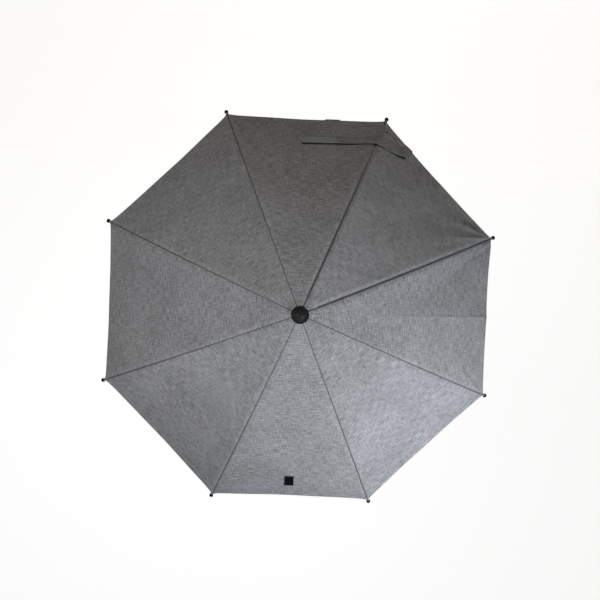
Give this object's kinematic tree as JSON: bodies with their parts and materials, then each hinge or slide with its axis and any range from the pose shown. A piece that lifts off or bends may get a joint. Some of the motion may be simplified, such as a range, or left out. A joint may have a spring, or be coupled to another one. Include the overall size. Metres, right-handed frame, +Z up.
{
  "type": "pram parasol",
  "caption": "Folding parasol for a pram: grey fabric canopy on channel ribs with a sliding runner, a tilting stick, and a swivel socket on a screw clamp.",
  "frame": {"origin": "on the axis of the pram tube, in the middle of the clamp", "axes": "+Z up along the stick, +Y along the pram tube, +X towards the clamp's screw"},
  "size_m": [0.6536, 0.6536, 0.6945],
  "materials": {
    "black_plastic": "satin moulded",
    "steel": "plain",
    "tube_metal": "satin anodised",
    "pad_rubber": "matt",
    "canopy_fabric": "grey melange weave",
    "label_fabric": "woven",
    "rib_paint": "black paint",
    "tip_plastic": "semi gloss"
  },
  "bodies": {
    "clamp": {"clamp_body": "black_plastic", "fixed_pad": "pad_rubber", "swivel_bolt": "steel"},
    "jaw": {"jaw": "black_plastic", "jaw_pad": "pad_rubber"},
    "clamp_screw": {"clamp_screw": "black_plastic"},
    "swivel_knob": {"swivel_knob": "black_plastic"},
    "socket": {"socket": "black_plastic"},
    "socket_screw": {"socket_screw": "black_plastic"},
    "stick": {"lower_tube": "tube_metal", "end_plug": "black_plastic", "tilt_tongue": "black_plastic"},
    "upper": {"upper_tube": "tube_metal", "tilt_fork": "black_plastic", "tilt_pin": "steel", "crown": "black_plastic", "crown_wire": "steel", "top_cap": "black_plastic", "top_spring": "steel", "button_spring": "steel"},
    "tilt_button": {"tilt_button": "black_plastic"},
    "runner": {"runner": "black_plastic", "runner_wire": "steel"},
    "rib_1": {"rib_1": "rib_paint", "rib_tip_1": "tip_plastic", "canopy_panel_1": "canopy_fabric"},
    "stretcher_1": {"stretcher_1": "rib_paint"},
    "rib_2": {"rib_2": "rib_paint", "rib_tip_2": "tip_plastic", "canopy_panel_2": "canopy_fabric", "strap": "canopy_fabric"},
    "stretcher_2": {"stretcher_2": "rib_paint"},
    "rib_3": {"rib_3": "rib_paint", "rib_tip_3": "tip_plastic", "canopy_panel_3": "canopy_fabric"},
    "stretcher_3": {"stretcher_3": "rib_paint"},
    "rib_4": {"rib_4": "rib_paint", "rib_tip_4": "tip_plastic", "canopy_panel_4": "canopy_fabric"},
    "stretcher_4": {"stretcher_4": "rib_paint"},
    "rib_5": {"rib_5": "rib_paint", "rib_tip_5": "tip_plastic", "canopy_panel_5": "canopy_fabric"},
    "stretcher_5": {"stretcher_5": "rib_paint"},
    "rib_6": {"rib_6": "rib_paint", "rib_tip_6": "tip_plastic", "canopy_panel_6": "canopy_fabric", "hem_label": "label_fabric"},
    "stretcher_6": {"stretcher_6": "rib_paint"},
    "rib_7": {"rib_7": "rib_paint", "rib_tip_7": "tip_plastic", "canopy_panel_7": "canopy_fabric"},
    "stretcher_7": {"stretcher_7": "rib_paint"},
    "rib_8": {"rib_8": "rib_paint", "rib_tip_8": "tip_plastic", "canopy_panel_8": "canopy_fabric"},
    "stretcher_8": {"stretcher_8": "rib_paint"}
  },
  "joints": [
    {"name": "jaw_slide", "type": "slide", "parent": "clamp", "child": "jaw", "axis": [1, 0, 0], "range_m": [-0.006, 0.014]},
    {"name": "clamp_screw_turn", "type": "hinge", "parent": "jaw", "child": "clamp_screw", "pos_m": [0.047, 0, 0], "axis": [1, 0, 0], "range_deg": [-725, 1685]},
    {"name": "swivel", "type": "hinge", "parent": "clamp", "child": "socket", "pos_m": [0, 0, 0.046], "axis": [0, 1, 0], "range_deg": [-80, 80]},
    {"name": "swivel_knob_turn", "type": "hinge", "parent": "clamp", "child": "swivel_knob", "pos_m": [0, 0.0113, 0.046], "axis": [0, 1, 0], "range_deg": [0, 360]},
    {"name": "socket_screw_turn", "type": "hinge", "parent": "socket", "child": "socket_screw", "pos_m": [0, -0.015, 0.106], "axis": [0, -1, 0], "range_deg": [0, 360]},
    {"name": "height_slide", "type": "slide", "parent": "socket", "child": "stick", "axis": [0, 0, 1], "range_m": [0, 0.035]},
    {"name": "tilt", "type": "hinge", "parent": "stick", "child": "upper", "pos_m": [0, 0, 0.245], "axis": [0, 1, 0], "range_deg": [-60, 60]},
    {"name": "tilt_button_press", "type": "slide", "parent": "upper", "child": "tilt_button", "axis": [0, -1, 0], "range_m": [0, 0.0015], "stiffness_N_per_m": 800, "springref_m": -0.001, "deforming": ["button_spring"]},
    {"name": "runner_slide", "type": "slide", "parent": "upper", "child": "runner", "axis": [0, 0, -1], "range_m": [0, 0.23125], "deforming": ["top_spring", "canopy_panel_1", "canopy_panel_2", "canopy_panel_3", "canopy_panel_4", "canopy_panel_5", "canopy_panel_6", "canopy_panel_7", "canopy_panel_8", "strap", "hem_label"]},
    {"name": "rib_1_fold", "type": "hinge", "parent": "upper", "child": "rib_1", "pos_m": [0.01109, 0.00459, 0.65699], "axis": [-0.3827, 0.9239, 0], "range_deg": [-0.1, 67.1]},
    {"name": "stretcher_1_fold", "type": "hinge", "parent": "rib_1", "child": "stretcher_1", "pos_m": [0.15662, 0.06488, 0.60877], "axis": [-0.3827, 0.9239, 0], "range_deg": [-134.2, 0.2]},
    {"name": "rib_2_fold", "type": "hinge", "parent": "upper", "child": "rib_2", "pos_m": [0.00459, 0.01109, 0.65699], "axis": [-0.9239, 0.3827, 0], "range_deg": [-0.1, 67.1]},
    {"name": "stretcher_2_fold", "type": "hinge", "parent": "rib_2", "child": "stretcher_2", "pos_m": [0.06488, 0.15662, 0.60877], "axis": [-0.9239, 0.3827, 0], "range_deg": [-134.2, 0.2]},
    {"name": "rib_3_fold", "type": "hinge", "parent": "upper", "child": "rib_3", "pos_m": [-0.00459, 0.01109, 0.65699], "axis": [-0.9239, -0.3827, 0], "range_deg": [-0.1, 67.1]},
    {"name": "stretcher_3_fold", "type": "hinge", "parent": "rib_3", "child": "stretcher_3", "pos_m": [-0.06488, 0.15662, 0.60877], "axis": [-0.9239, -0.3827, 0], "range_deg": [-134.2, 0.2]},
    {"name": "rib_4_fold", "type": "hinge", "parent": "upper", "child": "rib_4", "pos_m": [-0.01109, 0.00459, 0.65699], "axis": [-0.3827, -0.9239, 0], "range_deg": [-0.1, 67.1]},
    {"name": "stretcher_4_fold", "type": "hinge", "parent": "rib_4", "child": "stretcher_4", "pos_m": [-0.15662, 0.06488, 0.60877], "axis": [-0.3827, -0.9239, 0], "range_deg": [-134.2, 0.2]},
    {"name": "rib_5_fold", "type": "hinge", "parent": "upper", "child": "rib_5", "pos_m": [-0.01109, -0.00459, 0.65699], "axis": [0.3827, -0.9239, 0], "range_deg": [-0.1, 67.1]},
    {"name": "stretcher_5_fold", "type": "hinge", "parent": "rib_5", "child": "stretcher_5", "pos_m": [-0.15662, -0.06488, 0.60877], "axis": [0.3827, -0.9239, 0], "range_deg": [-134.2, 0.2]},
    {"name": "rib_6_fold", "type": "hinge", "parent": "upper", "child": "rib_6", "pos_m": [-0.00459, -0.01109, 0.65699], "axis": [0.9239, -0.3827, 0], "range_deg": [-0.1, 67.1]},
    {"name": "stretcher_6_fold", "type": "hinge", "parent": "rib_6", "child": "stretcher_6", "pos_m": [-0.06488, -0.15662, 0.60877], "axis": [0.9239, -0.3827, 0], "range_deg": [-134.2, 0.2]},
    {"name": "rib_7_fold", "type": "hinge", "parent": "upper", "child": "rib_7", "pos_m": [0.00459, -0.01109, 0.65699], "axis": [0.9239, 0.3827, 0], "range_deg": [-0.1, 67.1]},
    {"name": "stretcher_7_fold", "type": "hinge", "parent": "rib_7", "child": "stretcher_7", "pos_m": [0.06488, -0.15662, 0.60877], "axis": [0.9239, 0.3827, 0], "range_deg": [-134.2, 0.2]},
    {"name": "rib_8_fold", "type": "hinge", "parent": "upper", "child": "rib_8", "pos_m": [0.01109, -0.00459, 0.65699], "axis": [0.3827, 0.9239, 0], "range_deg": [-0.1, 67.1]},
    {"name": "stretcher_8_fold", "type": "hinge", "parent": "rib_8", "child": "stretcher_8", "pos_m": [0.15662, -0.06488, 0.60877], "axis": [0.3827, 0.9239, 0], "range_deg": [-134.2, 0.2]}
  ],
  "couplings": [
    {"joint": "clamp_screw_turn", "follows": "jaw_slide", "rad_per_m": 2094.4},
    {"joint": "rib_1_fold", "follows": "runner_slide", "rad_per_m": 5.0567},
    {"joint": "stretcher_1_fold", "follows": "runner_slide", "rad_per_m": -10.113},
    {"joint": "rib_2_fold", "follows": "runner_slide", "rad_per_m": 5.0567},
    {"joint": "stretcher_2_fold", "follows": "runner_slide", "rad_per_m": -10.113},
    {"joint": "rib_3_fold", "follows": "runner_slide", "rad_per_m": 5.0567},
    {"joint": "stretcher_3_fold", "follows": "runner_slide", "rad_per_m": -10.113},
    {"joint": "rib_4_fold", "follows": "runner_slide", "rad_per_m": 5.0567},
    {"joint": "stretcher_4_fold", "follows": "runner_slide", "rad_per_m": -10.113},
    {"joint": "rib_5_fold", "follows": "runner_slide", "rad_per_m": 5.0567},
    {"joint": "stretcher_5_fold", "follows": "runner_slide", "rad_per_m": -10.113},
    {"joint": "rib_6_fold", "follows": "runner_slide", "rad_per_m": 5.0567},
    {"joint": "stretcher_6_fold", "follows": "runner_slide", "rad_per_m": -10.113},
    {"joint": "rib_7_fold", "follows": "runner_slide", "rad_per_m": 5.0567},
    {"joint": "stretcher_7_fold", "follows": "runner_slide", "rad_per_m": -10.113},
    {"joint": "rib_8_fold", "follows": "runner_slide", "rad_per_m": 5.0567},
    {"joint": "stretcher_8_fold", "follows": "runner_slide", "rad_per_m": -10.113}
  ]
}
